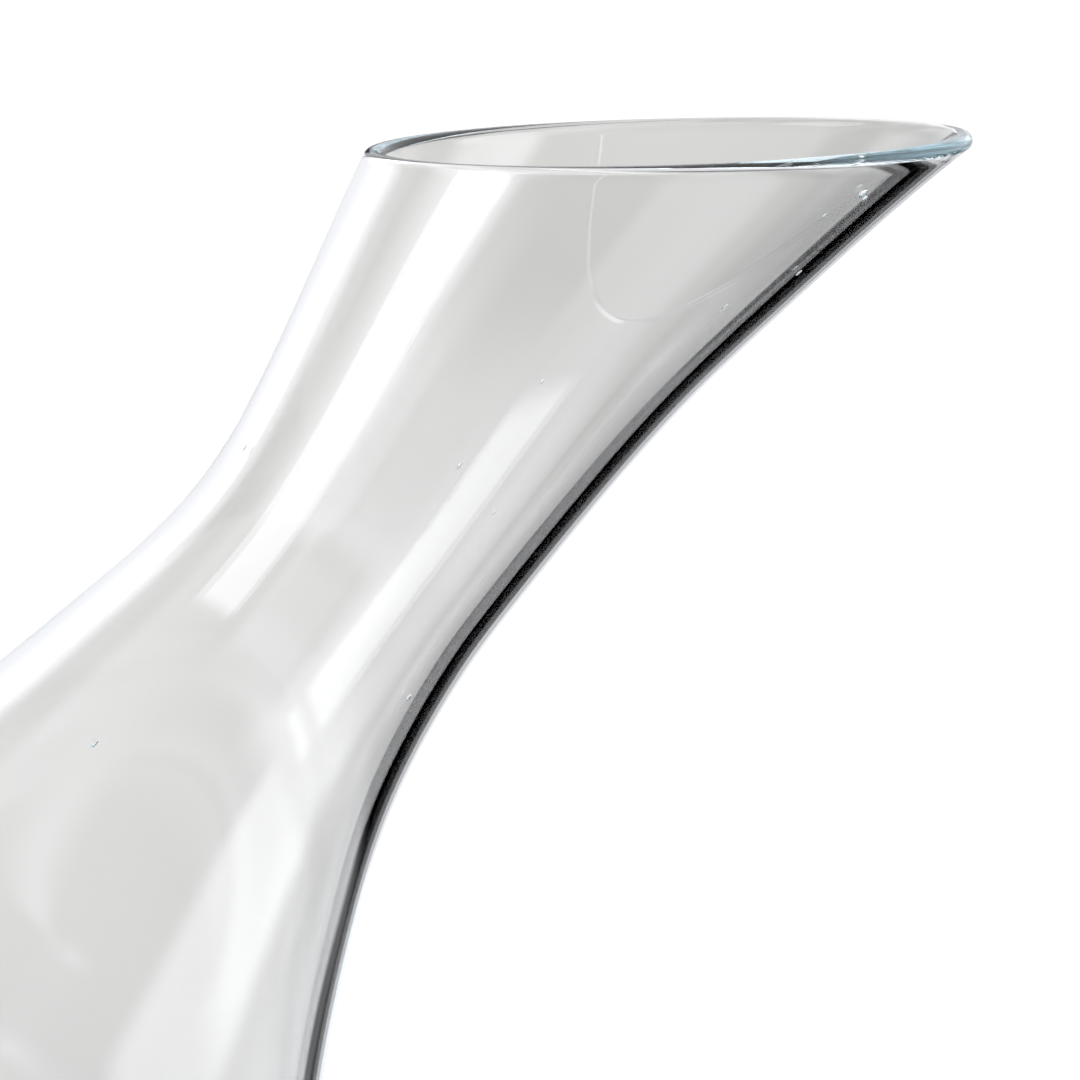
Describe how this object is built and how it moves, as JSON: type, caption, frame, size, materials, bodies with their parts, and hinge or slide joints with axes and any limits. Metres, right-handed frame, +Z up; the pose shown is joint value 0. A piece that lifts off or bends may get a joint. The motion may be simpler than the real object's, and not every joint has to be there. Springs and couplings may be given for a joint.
{
  "type": "wine decanter",
  "caption": "Clear blown-glass wine decanter with a wide low bowl, a narrow waisted neck and a flared mouth cut on the slant into a pouring lip.",
  "frame": {"origin": "centre of the base, on the surface the decanter stands on", "axes": "+Z up through the neck; the high side of the slanted mouth, the pouring lip, points along +X; the object is mirrored about the XZ plane"},
  "size_m": [0.168, 0.168, 0.2696],
  "materials": {
    "clear_glass": "fire-polished, clear and colourless with a faint cool tint in the thickness of the rim"
  },
  "bodies": {
    "root": {"glass_vessel": "clear_glass"}
  },
  "joints": []
}
